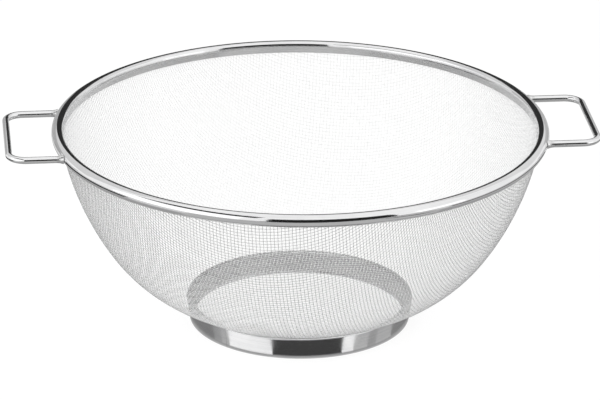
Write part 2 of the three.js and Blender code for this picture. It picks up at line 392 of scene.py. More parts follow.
FOOT_STEEL = Steel(
    name="brushed_foot",
    dark=(0.74, 0.74, 0.75),
    pale=(0.9, 0.9, 0.9),
    smooth=0.14,
    rough=0.26,
    mark_scale=5200.0,
    run_scale=18.0,
    relief=0.004 * MM,
)


def deselect() -> None:
    """Leaves edit mode and deselects every object."""
    if bpy.context.object and bpy.context.object.mode != "OBJECT":
        bpy.ops.object.mode_set(mode="OBJECT")
    bpy.ops.object.select_all(action="DESELECT")


def begin(name: str) -> bpy.types.Object:
    """Starts a piece from the primitive that was just added, with its place set into its mesh.

    Args:
        name: The piece's name.

    Returns:
        The piece, in edit mode with all of it selected.
    """
    piece = bpy.context.object
    piece.name = name
    piece.data.name = name
    bpy.ops.object.transform_apply(location=True, rotation=True, scale=True)
    bpy.ops.object.mode_set(mode="EDIT")
    bpy.ops.mesh.select_all(action="SELECT")
    return piece


def trace(name: str, points: list[Vector]) -> bpy.types.Object:
    """Draws a chain of edges by extruding one vertex from point to point.

    Args:
        name: The new object's name.
        points: The chain's points, in order.

    Returns:
        The object, in edit mode with all of it selected.
    """
    deselect()
    bpy.ops.mesh.primitive_plane_add(size=MM, location=points[0])
    piece = begin(name)
    bpy.ops.mesh.merge(type="CENTER")
    for here, there in zip(points, points[1:]):
        bpy.ops.mesh.extrude_vertices_move(TRANSFORM_OT_translate={"value": there - here})
    bpy.ops.mesh.select_all(action="SELECT")
    return piece


def sweep(steps: int, angle: float, centre: Vector | tuple = ORIGIN, axis: tuple = UP) -> None:
    """Spins the selection by a right-handed angle, in radians, about an axis through a point."""
    bpy.ops.mesh.spin(steps=steps, angle=-angle, center=centre, axis=axis)


def close_up() -> None:
    """Merges the active piece's doubles, points its faces outwards and shades it smooth in object mode."""
    bpy.ops.mesh.select_all(action="SELECT")
    bpy.ops.mesh.remove_doubles(threshold=MERGE_GAP)
    bpy.ops.mesh.normals_make_consistent(inside=False)
    bpy.ops.object.mode_set(mode="OBJECT")
    bpy.ops.object.shade_smooth_by_angle(angle=SHARP_EDGE)


def roll_strip(
    name: str,
    outline: list[tuple[float, float]],
    seam: float,
    gap: float,
    steps: int,
    **wall: float | bool,
) -> bpy.types.Object:
    """Rolls a strip into a ring that stops short at a butt seam, and gives it its thickness.

    Args:
        name: The piece's name.
        outline: Radius and height of each point of the strip's outer face.
        seam: Azimuth of the seam.
        gap: Angle that the seam takes up.
        steps: Steps round the ring.
        **wall: Settings of the modifier that thickens the strip.

    Returns:
        The finished piece.
    """
    out = heading(seam)
    piece = trace(name, [out * radius + Vector(UP) * height for radius, height in outline])
    sweep(steps, 2 * math.pi - gap)
    close_up()
    thicken = piece.modifiers.new("Wall", "SOLIDIFY")
    thicken.offset = -1.0
    for key, value in wall.items():
        setattr(thicken, key, value)
    bpy.ops.object.modifier_apply(modifier=thicken.name)
    bpy.ops.object.shade_smooth_by_angle(angle=SHARP_EDGE)
    return piece


def copy_piece(pattern: bpy.types.Object, name: str, place: Matrix) -> bpy.types.Object:
    """Copies a finished piece, with a mesh of its own.

    Args:
        pattern: The piece to copy.
        name: The copy's name.
        place: How the copy is turned and moved from the pattern.

    Returns:
        The copy, with its place set into its mesh.
    """
    deselect()
    pattern.select_set(True)
    bpy.context.view_layer.objects.active = pattern
    bpy.ops.object.duplicate()
    twin = bpy.context.object
    twin.name = name
    twin.data.name = name
    twin.matrix_world = place
    bpy.ops.object.transform_apply(location=True, rotation=True, scale=True)
    return twin


def seat(piece: bpy.types.Object, material: bpy.types.Material, slot: Slot, *nodes: str) -> None:
    """Dresses a finished piece and seats it on the body.

    Args:
        piece: The piece.
        material: Its finish.
        slot: The record's slot of that finish; not used.
        *nodes: The CAD nodes that it stands for.
    """
    piece.data.materials.clear()
    piece.data.materials.append(material)
    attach(piece, BODY)
    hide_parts(*nodes)
    LOG.info("%s: %d faces, for %s", piece.name, len(piece.data.polygons), ", ".join(nodes))


def heading(azimuth: float) -> Vector:
    """The level unit direction at an azimuth from +X, in radians."""
    return Vector((math.cos(azimuth), math.sin(azimuth), 0.0))


@dataclass
class BowlShape:
    """The bowl's middle surface: a flat floor, a knuckle arc and a wall arc up to the rim.

    Attributes:
        rim_radius: Radius of the cloth at the rim's height.
        rim_height: Height of the middle of the rim.
        floor_radius: Radius of the flat floor.
        floor_height: Height of the floor.
        knuckle_turn: Angle that the knuckle turns up by.
        wall_lean: Slope of the wall at the rim.
        knuckle_radius: Radius of the knuckle arc, worked out.
        wall_radius: Radius of the wall arc, worked out.
        knuckle_end: Distance along the section where the knuckle ends, worked out.
        rim_end: Distance along the section to the rim, worked out.
    """

    rim_radius: float
    rim_height: float
    floor_radius: float = 30.0 * MM
    floor_height: float = 7.6 * MM
    knuckle_turn: float = math.radians(56.0)
    wall_lean: float = math.radians(81.0)
    knuckle_radius: float = field(init=False)
    wall_radius: float = field(init=False)
    knuckle_end: float = field(init=False)
    rim_end: float = field(init=False)

    def __post_init__(self) -> None:
        """Works out the radii of the two arcs, which are tangent to each other."""
        run = self.rim_radius - self.floor_radius
        rise = self.rim_height - self.floor_height
        low, high = self.knuckle_turn, self.wall_lean
        knuckle_run, knuckle_rise = math.sin(low), 1 - math.cos(low)
        wall_run, wall_rise = math.sin(high) - math.sin(low), math.cos(low) - math.cos(high)
        mix = knuckle_run * wall_rise - knuckle_rise * wall_run
        self.knuckle_radius = (run * wall_rise - rise * wall_run) / mix
        self.wall_radius = (rise * knuckle_run - run * knuckle_rise) / mix
        self.knuckle_end = self.floor_radius + self.knuckle_radius * low
        self.rim_end = self.knuckle_end + self.wall_radius * (high - low)

    def section(self, along: np.ndarray) -> tuple[np.ndarray, np.ndarray, np.ndarray]:
        """Follows the section out from the middle of the floor.

        Args:
            along: Distances along the section.

        Returns:
            Radius, height and slope at those distances.
        """
        knuckle = np.clip(along - self.floor_radius, 0, self.knuckle_end - self.floor_radius)
        wall = np.clip(along - self.knuckle_end, 0, self.rim_end - self.knuckle_end)
        past = np.maximum(0, along - self.rim_end)
        turn = knuckle / self.knuckle_radius
        slope = turn + wall / self.wall_radius
        radius = np.minimum(along, self.floor_radius) + self.knuckle_radius * np.sin(turn)
        radius = radius + self.wall_radius * (np.sin(slope) - np.sin(turn)) + past * np.cos(slope)
        height = self.floor_height + self.knuckle_radius * (1 - np.cos(turn))
        height = height + self.wall_radius * (np.cos(turn) - np.cos(slope)) + past * np.sin(slope)
        return radius, height, slope

    def below(self, radius: float, gap: float) -> tuple[float, float]:
        """Finds a point under the knuckle.

        Args:
            radius: Radius of the point on the knuckle above it.
            gap: Distance below that point, square to the surface.

        Returns:
            Radius and height of the point.
        """
        turn = math.asin((radius - self.floor_radius) / self.knuckle_radius)
        height = self.floor_height + self.knuckle_radius * (1 - math.cos(turn))
        return radius + gap * math.sin(turn), height - gap * math.cos(turn)


@dataclass
class WovenCloth:
    """Plain-woven wire cloth pressed over the bowl.

    A square net of wires that keep their length can lie on a bowl in one way once two crossed wires
    are laid down, so each further crossing is one pitch from its two inner neighbours. No hand tool
    gives that, so the wires' meshes are worked out here.

    Attributes:
        shape: The surface that the cloth lies on.
        pitch: Distance between wires.
        wire: Diameter of a wire.
        turn: Angle of the first wires from X.
        tuck: How far the cut edge reaches past the middle of the rim.
        sides: Faces round a wire, an even number.
        bundles: Pieces that each set of wires is shared among.
        solve_steps: Steps of Newton's method for a crossing.
    """

    shape: BowlShape
    pitch: float = 1.85 * MM
    wire: float = 0.207 * MM
    turn: float = math.radians(-16.0)
    tuck: float = 0.7 * MM
    sides: int = 6
    bundles: int = 3
    solve_steps: int = 30

    def drape(self) -> tuple[np.ndarray, np.ndarray]:
        """Lays one quarter of the net, to two pitches past the rim.

        Returns:
            Distance along the section and azimuth of each crossing, with no number past the rim.
        """
        pitch, shape = self.pitch, self.shape
        reach = shape.rim_end + 2 * pitch
        count = math.ceil(reach / pitch)
        along = np.full((count + 1, count + 1), np.nan)
        azimuth = np.full((count + 1, count + 1), np.nan)
        along[:, 0] = along[0, :] = np.arange(count + 1) * pitch
        azimuth[:, 0], azimuth[0, :] = 0.0, math.pi / 2
        azimuth[0, 0] = 0.0
        for diagonal in range(2, 2 * count + 1):
            i = np.arange(max(1, diagonal - count), min(count, diagonal - 1) + 1)
            j = diagonal - i
            known = np.maximum(along[i - 1, j], along[i, j - 1]) < reach
            i, j = i[known], j[known]
            if i.size:
                ends = [(along[a, b], azimuth[a, b]) for a, b in ((i - 1, j), (i, j - 1), (i - 1, j - 1))]
                along[i, j], azimuth[i, j] = self.meet(*ends)
        return along, azimuth

    def meet(self, first: tuple, second: tuple, inner: tuple) -> tuple[np.ndarray, np.ndarray]:
        """Finds, by Newton's method, the crossings one pitch from two neighbours each.

        Args:
            first: Distance along the section and azimuth of one set of neighbours.
            second: The same for the other set.
            inner: The same for the crossings that both sets follow.

        Returns:
            Distance along the section and azimuth of the crossings.
        """
        one, two, three = (self.place(*ends) for ends in (first, second, inner))
        guess = one + two - three
        azimuth = np.arctan2(guess[:, 1], guess[:, 0])
        along = np.maximum(first[0], second[0]) + self.pitch / 3
        for _ in range(self.solve_steps):
            radius, _, slope = self.shape.section(along)
            here = self.place(along, azimuth)
            out = np.stack([np.cos(azimuth), np.sin(azimuth), 0 * azimuth], -1)
            round_it = np.stack([-np.sin(azimuth), np.cos(azimuth), 0 * azimuth], -1) * radius[:, None]
            up_it = out * np.cos(slope)[:, None] + np.array(UP) * np.sin(slope)[:, None]
            to_one, to_two = here - one, here - two
            long_one, long_two = np.linalg.norm(to_one, axis=1), np.linalg.norm(to_two, axis=1)
            miss_one, miss_two = long_one - self.pitch, long_two - self.pitch
            a, b = (to_one * up_it).sum(1) / long_one, (to_one * round_it).sum(1) / long_one
            c, d = (to_two * up_it).sum(1) / long_two, (to_two * round_it).sum(1) / long_two
            det = a * d - b * c
            along = along - (d * miss_one - b * miss_two) / det
            azimuth = azimuth - (a * miss_two - c * miss_one) / det
        return along, azimuth

    def place(self, along: np.ndarray, azimuth: np.ndarray) -> np.ndarray:
        """Points on the surface, as rows of x, y and z."""
        radius, height, _ = self.shape.section(along)
        return np.stack([radius * np.cos(azimuth), radius * np.sin(azimuth), height], -1)

    def net(self) -> tuple[np.ndarray, np.ndarray, np.ndarray]:
        """Mirrors the quarter into the whole net, turned to its place.

        Returns:
            Distances along the section, points and upward normals, by wire number each way.
        """
        along, azimuth = self.drape()
        count = along.shape[0] - 1
        steps = np.arange(-count, count + 1)
        i, j = np.meshgrid(steps, steps, indexing="ij")
        far, angle = along[abs(i), abs(j)], azimuth[abs(i), abs(j)]
        angle = np.arctan2(np.sin(angle) * np.where(j < 0, -1, 1), np.cos(angle) * np.where(i < 0, -1, 1))
        angle = angle + self.turn
        points = self.place(far, angle)
        slope = self.shape.section(far)[2]
        inward = -np.sin(slope)
        normals = np.stack([inward * np.cos(angle), inward * np.sin(angle), np.cos(slope)], -1)
        return far, points, normals

    def run(
        self,
        far: np.ndarray,
        points: np.ndarray,
        normals: np.ndarray,
        sign: np.ndarray,
    ) -> tuple[np.ndarray, np.ndarray] | None:
        """Takes one wire from its cut end at one side of the rim to its cut end at the other.

        Args:
            far: Distances along the section at the wire's crossings.
            points: The crossings' places.
            normals: Their upward normals.
            sign: 1 where the wire passes over, -1 where it passes under.

        Returns:
            The wire's centre points and normals, or None if it never comes below the trim.
        """
        trim = self.shape.rim_end + self.tuck
        inside = np.flatnonzero(far < trim)
        if inside.size < 2:
            return None
        first, last = inside[0], inside[-1]
        centres = points + normals * (sign * self.wire / 2)[:, None]
        kept, kept_normals = [centres[first:last + 1]], [normals[first:last + 1]]
        for end, beyond, front in ((first, first - 1, True), (last, last + 1, False)):
            if 0 <= beyond < far.size and np.isfinite(far[beyond]):
                share = (trim - far[end]) / (far[beyond] - far[end])
                cut = centres[end] + (centres[beyond] - centres[end]) * share
                place = 0 if front else len(kept)
                kept.insert(place, cut[None])
                kept_normals.insert(place, normals[end][None])
        return np.concatenate(kept), np.concatenate(kept_normals)

    def wires(self) -> list[list[tuple[np.ndarray, np.ndarray]]]:
        """Weaves the net: each wire passes over one wire and under the next.

        Returns:
            The two sets of wires, each a list of centre points and normals.
        """
        far, points, normals = self.net()
        size = far.shape[0]
        parity = np.where(np.add.outer(np.arange(size), np.arange(size)) % 2 == 0, 1, -1)
        warp = [self.run(far[:, k], points[:, k], normals[:, k], parity[:, k]) for k in range(size)]
        weft = [self.run(far[k], points[k], normals[k], -parity[k]) for k in range(size)]
        return [[wire for wire in family if wire] for family in (warp, weft)]

    def rings(self, centres: np.ndarray, normals: np.ndarray, turns: np.ndarray) -> np.ndarray:
        """Sets the points of a wire's skin round its centre line.

        Args:
            centres: The wire's centre points.
            normals: Upward normals there.
            turns: Angles of the points round the wire.

        Returns:
            The points, ring by ring.
        """
        tangents = np.gradient(centres, axis=0)
        tangents /= np.linalg.norm(tangents, axis=1)[:, None]
        across = np.cross(tangents, normals)
        across /= np.linalg.norm(across, axis=1)[:, None]
        upright = np.cross(across, tangents)
        spokes = across[:, None] * np.cos(turns)[:, None] + upright[:, None] * np.sin(turns)[:, None]
        return (centres[:, None] + spokes * self.wire / 2).reshape(-1, 3)

    def skin(self, name: str, bundle: list[tuple[np.ndarray, np.ndarray]]) -> bpy.types.Object:
        """Gives a bundle of wires its round skin, its closed ends and a map that follows each wire.

        Args:
            name: The piece's name.
            bundle: The wires' centre points and normals.

        Returns:
            The new object.
        """
        sides = self.sides
        turns = 2 * math.pi * np.arange(sides) / sides
        column = np.arange(sides)
        after = (column + 1) % sides
        cap = [(0, k, k + 1, k + 2) for k in range(1, sides - 1, 2)]
        # Map corners of a face and of a part of an end, in cells of one crossing by one wire
        corners = np.array([[0, 0], [0, 1], [1, 1], [1, 0]])
        cap_map =np.array([[0.1, 0.2], [0.1, 0.8], [0.9, 0.8], [0.9, 0.2]])
        map_size = [max(len(centres) for centres, _ in bundle) + 2, len(bundle)]
        vertices, quads, maps, start = [], [], [], 0
        for number, (centres, normals) in enumerate(bundle):
            last = len(centres) - 1
            vertices.append(self.rings(centres, normals, turns))
            row = np.arange(last)[:, None] * sides + start
            body = np.stack([row + column, row + after, row + sides + after, row + sides + column], -1)
            quads.append(body.reshape(-1, 4))
            left, low = np.meshgrid(np.arange(last), column, indexing="ij")
            u = left[..., None] + 1 + corners[:, 0]
            v = number + (low[..., None] + 0.5 + corners[:, 1]) / (sides + 1)
            maps.append(np.stack([u, v], -1).reshape(-1, 2) / map_size)
            for ring_start, order, column_start in ((start, -1, 0), (start + last * sides, 1, last + 1)):
                for part in cap:
                    quads.append(np.array([[ring_start + k for k in part[::order]]]))
                    maps.append((cap_map + [column_start, number]) / map_size)
            start += len(centres) * sides
        piece = mesh_piece(name, np.concatenate(vertices), np.concatenate(quads), np.concatenate(maps))
        inner = piece.data.attributes.new(INNER_SIDE, "FLOAT", "POINT")
        inner.data.foreach_set("value", np.tile(np.sin(turns), start // sides).astype(np.float32))
        return piece

    def build(self, finish: Steel) -> None:
        """Weaves both sets of wires, in bundles that are pieces of their own, and dresses them.

        Args:
            finish: The wire's finish.
        """
        material = finish.material()
        for family, name in zip(self.wires(), ("warp_wires", "weft_wires")):
            share = math.ceil(len(family) / self.bundles)
            for k in range(self.bundles):
                piece = self.skin(f"{name}_{k + 1}", family[k * share:(k + 1) * share])
                seat(piece, material, Slot.CLOTH, "mesh_bowl")


def mesh_piece(name: str, vertices: np.ndarray, quads: np.ndarray, corners: np.ndarray) -> bpy.types.Object:
    """Makes a smooth-shaded object of four-sided faces, with a map for its pattern.

    Args:
        name: The object's name.
        vertices: Points, as rows.
        quads: Faces, as rows of four vertex numbers.
        corners: Map coordinates of each face's corners in turn.

    Returns:
        The object, linked to the scene.
    """
    mesh = bpy.data.meshes.new(name)
    mesh.vertices.add(len(vertices))
    mesh.vertices.foreach_set("co", vertices.astype(np.float32).ravel())
    mesh.loops.add(quads.size)
    mesh.loops.foreach_set("vertex_index", quads.astype(np.int32).ravel())
    mesh.polygons.add(len(quads))
    mesh.polygons.foreach_set("loop_start", np.arange(0, quads.size, 4, dtype=np.int32))
    mesh.polygons.foreach_set("use_smooth", np.ones(len(quads), dtype=bool))
    layer = mesh.uv_layers.new(name="OFBake")
    layer.data.foreach_set("uv", corners.astype(np.float32).ravel())
    mesh.update(calc_edges=True)
    mesh.validate()
    piece = bpy.data.objects.new(name, mesh)
    bpy.context.scene.collection.objects.link(piece)
    return piece


@dataclass
class RolledRim:
    """The strip that is rolled over the cloth's edge, with a butt seam.

    Attributes:
        radius: Radius of the ring at the middle of its section.
        height: Height of that middle.
        tube: Outer radius of the section.
        strip: Thickness of the strip.
        crown_end: Angle round the section, from outside over the top, where the round crown ends.
        shoulder: Radius of the tight bend after the crown.
        shoulder_end: Angle where the shoulder ends.
        cheek: Radius of the wide bend below the shoulder.
        cheek_end: Angle where the cheek ends.
        ease: Radius of the slow bend that leads into the flat inner flank.
        flank_drop: How far the inner flank reaches below the middle.
        flank_lean: How far the flank leans in on the way down.
        slot_start: Angle round the section where the strip's outer edge stops, below the ring.
        seam: Azimuth of the butt seam.
        seam_gap: Width of the seam.
        crown_steps: Steps round the crown.
        bend_steps: Steps round each of the other bends.
        ring_steps: Steps round the ring.
    """

    radius: float
    height: float
    tube: float = 3.3 * MM
    strip: float = 0.5 * MM
    crown_end: float = math.radians(131.0)
    shoulder: float = 0.8 * MM
    shoulder_end: float = math.radians(155.0)
    cheek: float = 2.65 * MM
    cheek_end: float = math.radians(168.0)
    ease: float = 7.0 * MM
    flank_drop: float = 2.65 * MM
    flank_lean: float = 0.03 * MM
    slot_start: float = math.radians(-105.0)
    seam: float = math.radians(173.0)
    seam_gap: float = 0.12 * MM
    crown_steps: int = 30
    bend_steps: int = 5
    ring_steps: int = 256

    def outline(self) -> list[tuple[float, float]]:
        """Draws the strip's outer face, from the slot round the outside and over the top to the inner edge.

        Returns:
            Radius and height of its points.
        """
        arcs = (
            (self.tube, self.crown_end, self.crown_steps),
            (self.shoulder, self.shoulder_end, self.bend_steps),
            (self.cheek, self.cheek_end, self.bend_steps),
            (self.ease, math.pi, self.bend_steps),
        )
        angle = self.slot_start
        points = [heading(angle) * self.tube]
        for radius, end, steps in arcs:
            centre = points[-1] - heading(angle) * radius
            turns = [angle + (end - angle) * k / steps for k in range(1, steps + 1)]
            points += [centre + heading(turn) * radius for turn in turns]
            angle = end
        foot = Vector((points[-1].x - self.flank_lean, -self.flank_drop, 0.0))
        points += [(points[-1] + foot) / 2, foot]
        return [(self.radius + point.x, self.height + point.y) for point in points]

    def build(self, finish: Steel) -> None:
        """Rolls the strip and dresses it.

        Args:
            finish: The rim's finish.
        """
        gap = self.seam_gap / self.radius
        piece = roll_strip(
            "rim_roll", self.outline(), self.seam, gap, self.ring_steps, thickness=self.strip)
        seat(piece, finish.material(), Slot.RIM, "rim_band")


@dataclass
class WireHandles:
    """The two handles: round wire bent into a U, with both ends welded to the rim.

    Attributes:
        leg: Distance of each leg from the middle of the handle.
        start: Distance of the legs' ends from the middle of the bowl, along X.
        bar: Distance of the bar from the middle of the bowl.
        height: Height of the wire's middle.
        wire: Radius of the wire.
        rim_tube: Outer radius of the rim's section.
        bend: Radius of the bends, at the wire's middle.
        wire_sides: Faces round the wire.
        bend_steps: Steps round a bend.
        weld_flare: Height of the weld on the wire, at the rim.
        weld_length: Length of the weld along the wire.
        weld_bite: How far the weld reaches into the rim.
        weld_sink: How far the weld reaches into the wire.
        weld_steps: Steps along the weld.
        weld_sides: Faces round the weld.
    """

    leg: float
    start: float
    bar: float
    height: float
    wire: float
    rim_tube: float
    bend: float = 9.0 * MM
    wire_sides: int = 24
    bend_steps: int = 14
    weld_flare: float = 0.7 * MM
    weld_length: float = 3.6 * MM
    weld_bite: float = 0.4 * MM
    weld_sink: float = 0.2 * MM
    weld_steps: int = 8
    weld_sides: int = 28

    def push(self, *move: float) -> None:
        """Extrudes the wire's open end straight on."""
        bpy.ops.mesh.extrude_region_move(TRANSFORM_OT_translate={"value": move})

    def turn_round(self, *centre: float) -> None:
        """Bends the wire's open end a quarter turn about an upright line."""
        sweep(self.bend_steps, -math.pi / 2, centre)

    def bend_wire(self) -> bpy.types.Object:
        """Bends the right handle's wire from its far leg to its near one.

        Returns:
            The wire, as a pattern for both handles.
        """
        deselect()
        bpy.ops.mesh.primitive_circle_add(
            vertices=self.wire_sides,
            radius=self.wire,
            fill_type="NGON",
            location=(self.start, self.leg, self.height),
            rotation=(0.0, math.pi / 2, 0.0),
        )
        pattern = begin("handle_pattern")
        turn_at = self.bar - self.bend
        straight = turn_at - self.start
        inner = self.leg - self.bend
        self.push(straight, 0.0, 0.0)
        self.turn_round(turn_at, inner, self.height)
        self.push(0.0, -2 * inner, 0.0)
        self.turn_round(turn_at, -inner, self.height)
        self.push(-straight, 0.0, 0.0)
        close_up()
        return pattern

    def lay_weld(self) -> bpy.types.Object:
        """Spins the hollow outline of a weld about a leg that lies along X.

        Returns:
            The weld, as a pattern for all four.
        """
        root, inside = self.rim_tube - self.weld_bite, self.wire - self.weld_sink
        shares = [k / self.weld_steps for k in range(self.weld_steps + 1)]
        outline = [
            (root, inside),
            *((root + k * self.weld_length, self.wire + self.weld_flare * (1 - k) ** 2) for k in shares),
            (root + self.weld_length, inside),
            (root, inside),
        ]
        middle = Vector((self.start, 0.0, self.height))
        pattern = trace("weld_pattern", [middle + Vector((x, 0.0, radius)) for x, radius in outline])
        sweep(self.weld_sides, 2 * math.pi, middle, (1.0, 0.0, 0.0))
        close_up()
        return pattern

    def build(self, wire_finish: Steel, weld_finish: Steel) -> None:
        """Copies one handle and one weld to all their places and dresses the copies.

        Args:
            wire_finish: The handles' finish.
            weld_finish: The welds' finish.
        """
        handle, weld = self.bend_wire(), self.lay_weld()
        wire_steel, weld_steel = wire_finish.material(), weld_finish.material()
        for side in Side:
            turn = Matrix.Rotation(side.value, 4, "Z")
            name = side.name.lower()
            wire = copy_piece(handle, f"handle_wire_{name}", turn)
            seat(wire, wire_steel, Slot.HANDLE, f"handle_{name}")
            for end in End:
                place = Matrix.Translation((0.0, end.value * self.leg, 0.0)) @ turn
                spot = f"{name}_{end.name.lower()}"
                fillet = copy_piece(weld, f"weld_fillet_{spot}", place)
                seat(fillet, weld_steel, Slot.WELD, f"weld_{spot}")
        for pattern in (handle, weld):
            bpy.data.meshes.remove(pattern.data)


@dataclass
class FootRing:
    """A tapered band under the bowl, with a lip turned in below the cloth and a hem turned in at its base.

    Attributes:
        shape: The bowl that it carries.
        top_radius: Outer radius at the top of the band.
        base_radius: Outer radius at the table.
        cloth_gap: From the cloth's middle to the lip.
        strip: Thickness of the strip.
        lip: How far the lip reaches in.
        hem: How far the hem reaches in.
        edge: Radius of the two turned edges.
        edge_steps: Steps round a turned edge.
        seam: Azimuth of the butt seam.
        seam_gap: Width of the seam.
        ring_steps: Steps round the ring.
    """

    shape: BowlShape
    top_radius: float
    base_radius: float = 58.3 * MM
    cloth_gap: float = 0.42 * MM
    strip: float = 0.8 * MM
    lip: float = 3.5 * MM
    hem: float = 2.6 * MM
    edge: float = 0.8 * MM
    edge_steps: int = 6
    seam: float = math.radians(224.0)
    seam_gap: float = 0.12 * MM
    ring_steps: int = 224

    def outline(self) -> list[tuple[float, float]]:
        """Draws the band's outer face, from the hem up to the lip, with turned edges.

        Returns:
            Radius and height of its points.
        """
        lip_out = self.shape.below(self.top_radius - self.edge, self.cloth_gap)
        lip_in = self.shape.below(self.top_radius - self.lip, self.cloth_gap)
        corners = [
            (self.base_radius - self.hem, 0.0),
            (self.base_radius, 0.0),
            (self.top_radius, lip_out[1]),
            lip_in,
        ]
        return [corners[0], *self.rounded(*corners[:3]), *self.rounded(*corners[1:]), corners[-1]]

    def rounded(self, before: tuple, corner: tuple, after: tuple) -> list[tuple[float, float]]:
        """Rounds a corner off by the edge radius.

        Args:
            before: The point before the corner.
            corner: The corner.
            after: The point after it.

        Returns:
            The points of the arc.
        """
        middle = Vector(corner)
        back, ahead = (Vector(before) - middle).normalized(), (Vector(after) - middle).normalized()
        half = back.angle(ahead) / 2
        reach = self.edge / math.tan(half)
        centre = middle + (back + ahead).normalized() * (self.edge / math.sin(half))
        first, last = middle + back * reach - centre, middle + ahead * reach - centre
        shares = [k / self.edge_steps for k in range(self.edge_steps + 1)]
        return [tuple(centre + first.slerp(last, share) * self.edge) for share in shares]

    def build(self, finish: Steel) -> None:
        """Rolls the band and dresses it.

        Args:
            finish: The foot's finish.
        """
        gap = self.seam_gap / self.base_radius
        wall = {"thickness": self.strip, "use_even_offset": True}
        piece = roll_strip("foot_band", self.outline(), self.seam, gap, self.ring_steps, **wall)
        seat(piece, finish.material(), Slot.FOOT, "foot_ring")


@dataclass(frozen=True)
class FloorCard:
    """A studio card that lies on the floor as a sector of a ring, and that only reflections show.

    Attributes:
        name: The card's name.
        level: Its brightness.
        near: Inner radius.
        far: Outer radius.
        start: First azimuth, in degrees from the front towards +X.
        end: Last azimuth.
        lift: Height above the floor.
        fan: How many times wider the outer edge is than the inner one, about the camera's azimuth.
        step: Degrees that a face of the card takes up.
    """

    name: str
    level: float
    near: float
    far: float
    start: float = -180.0
    end: float = 180.0
    lift: float = 0.4 * MM
    fan: float = 1.0
    step: float = 3.0

    def build(self) -> bpy.types.Object:
        """Lays the sector on the floor.

        Returns:
            The card.
        """
        out = heading(math.radians(self.start - 90.0))
        up = Vector(UP) * self.lift
        card = trace(self.name, [out * self.near + up, out * self.far + up])
        turn = self.end - self.start
        sweep(max(2, round(turn / self.step)), math.radians(turn))
        bpy.ops.object.mode_set(mode="OBJECT")
        for vertex in card.data.vertices:
            if vertex.co.to_2d().length > (self.near + self.far) / 2:
                from_camera = math.atan2(vertex.co.x, -vertex.co.y) - CAMERA_AZIMUTH
                vertex.co = Matrix.Rotation(from_camera * (self.fan - 1.0), 3, "Z") @ vertex.co
        return card


def foot_card(name: str, level: float, start: float, end: float) -> FloorCard:
    """A card for the foot's band, fanned out so that its edges stand upright in the reflection."""
    return FloorCard(name, level, FOOT_CARD_NEAR, FOOT_CARD_FAR, start, end, fan=FOOT_CARD_FAN)


@dataclass(frozen=True)
class WallCard:
    """A studio card that stands upright and faces the object, and that only reflections show.

    Attributes:
        name: The card's name.
        level: Its brightness.
        azimuth: The way to its middle line, in degrees from the front towards +X.
        distance: How far away that line is.
        before: How far the card reaches from that line against the azimuth.
        after: How far it reaches along the azimuth.
        bottom: Its lower edge.
        top: Its upper edge.
    """

    name: str
    level: float
    azimuth: float
    distance: float
    before: float
    after: float
    bottom: float
    top: float

    def build(self) -> bpy.types.Object:
        """Stands the card up.

        Returns:
            The card.
        """
        deselect()
        turn = math.radians(self.azimuth)
        place = heading(turn - math.pi / 2) * self.distance + heading(turn) * (self.after - self.before) / 2
        place.z = (self.bottom + self.top) / 2
        bpy.ops.mesh.primitive_plane_add(size=1.0, location=place, rotation=(math.pi / 2, 0.0, turn))
        card = bpy.context.object
        card.name = self.name
        card.scale = (self.before + self.after, self.top - self.bottom, 1.0)
        bpy.ops.object.transform_apply(location=True, rotation=True, scale=True)
        return card


@dataclass(frozen=True)
class SoftBox:
    """A square soft box that lights the object, and that reflections don't show.

    Attributes:
        name: The lamp's name.
        power: Its power, in watts.
        side: Length of its side.
        place: Where it hangs.
    """

    name: str
    power: float
    side: float
    place: tuple[float, float, float]

    def build(self, aim: Vector) -> None:
        """Hangs the box up.

        Args:
            aim: The point that it faces.
        """
        deselect()
        bpy.ops.object.light_add(type="AREA", location=self.place)
        lamp = bpy.context.object
        lamp.name = self.name
        lamp.data.energy = self.power
        lamp.data.size = self.side
        lamp.visible_glossy = False
        lamp.rotation_euler = (aim - Vector(self.place)).to_track_quat("-Z", "Y").to_euler()


